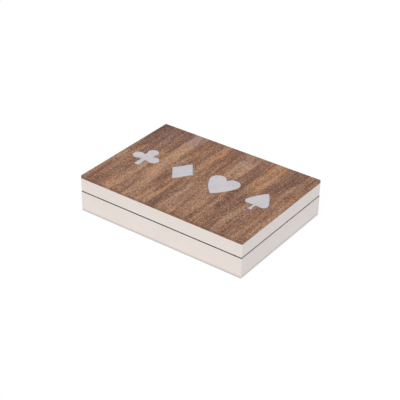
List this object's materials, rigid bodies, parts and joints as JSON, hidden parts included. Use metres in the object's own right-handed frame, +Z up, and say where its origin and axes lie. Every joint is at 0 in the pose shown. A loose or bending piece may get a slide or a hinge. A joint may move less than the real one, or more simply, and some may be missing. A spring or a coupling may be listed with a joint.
{
  "type": "playing card box",
  "caption": "Low rectangular box for decks of playing cards, with a hinged lid whose wood top is inlaid with the card suits.",
  "frame": {"origin": "the middle of the box's underside, on the felt that meets the table", "axes": "+X runs along the length, left to right from the front; +Y runs from the front to the hinged back; +Z is up"},
  "size_m": [0.178, 0.129, 0.0368],
  "materials": {
    "top_wood": "brown figured hardwood, satin",
    "lacquered_rail": "off-white satin lacquer, rims stained black",
    "pearl_inlay": "pale grey, faintly pearly, satin",
    "plain_panel": "plain thin panel",
    "black_wood": "black stained, satin",
    "felt": "charcoal felt",
    "hinge_brass": "polished brass"
  },
  "bodies": {
    "base": {"base_front_rail": "lacquered_rail", "base_back_rail": "lacquered_rail", "base_left_rail": "lacquered_rail", "base_right_rail": "lacquered_rail", "floor_panel": "plain_panel", "underside_felt": "felt", "liner_front": "black_wood", "liner_back": "black_wood", "liner_left": "black_wood", "liner_right": "black_wood", "card_divider": "black_wood", "well_felt_left": "felt", "well_felt_right": "felt", "hinge_left_base_leaf": "hinge_brass", "hinge_right_base_leaf": "hinge_brass", "hinge_left_pin": "hinge_brass", "hinge_right_pin": "hinge_brass", "hinge_base_screws": "hinge_brass"},
    "lid": {"lid_top_board": "top_wood", "lid_core_panel": "plain_panel", "lid_front_rail": "lacquered_rail", "lid_back_rail": "lacquered_rail", "lid_left_rail": "lacquered_rail", "lid_right_rail": "lacquered_rail", "inlay_club": "pearl_inlay", "inlay_diamond": "pearl_inlay", "inlay_heart": "pearl_inlay", "inlay_spade": "pearl_inlay", "lid_lining": "felt", "hinge_left_lid_leaf": "hinge_brass", "hinge_right_lid_leaf": "hinge_brass", "hinge_lid_screws": "hinge_brass"}
  },
  "joints": [
    {"name": "lid_hinge", "type": "hinge", "parent": "base", "child": "lid", "pos_m": [0, 0.064, 0.0206], "axis": [-1, 0, 0], "range_deg": [0, 180]}
  ]
}
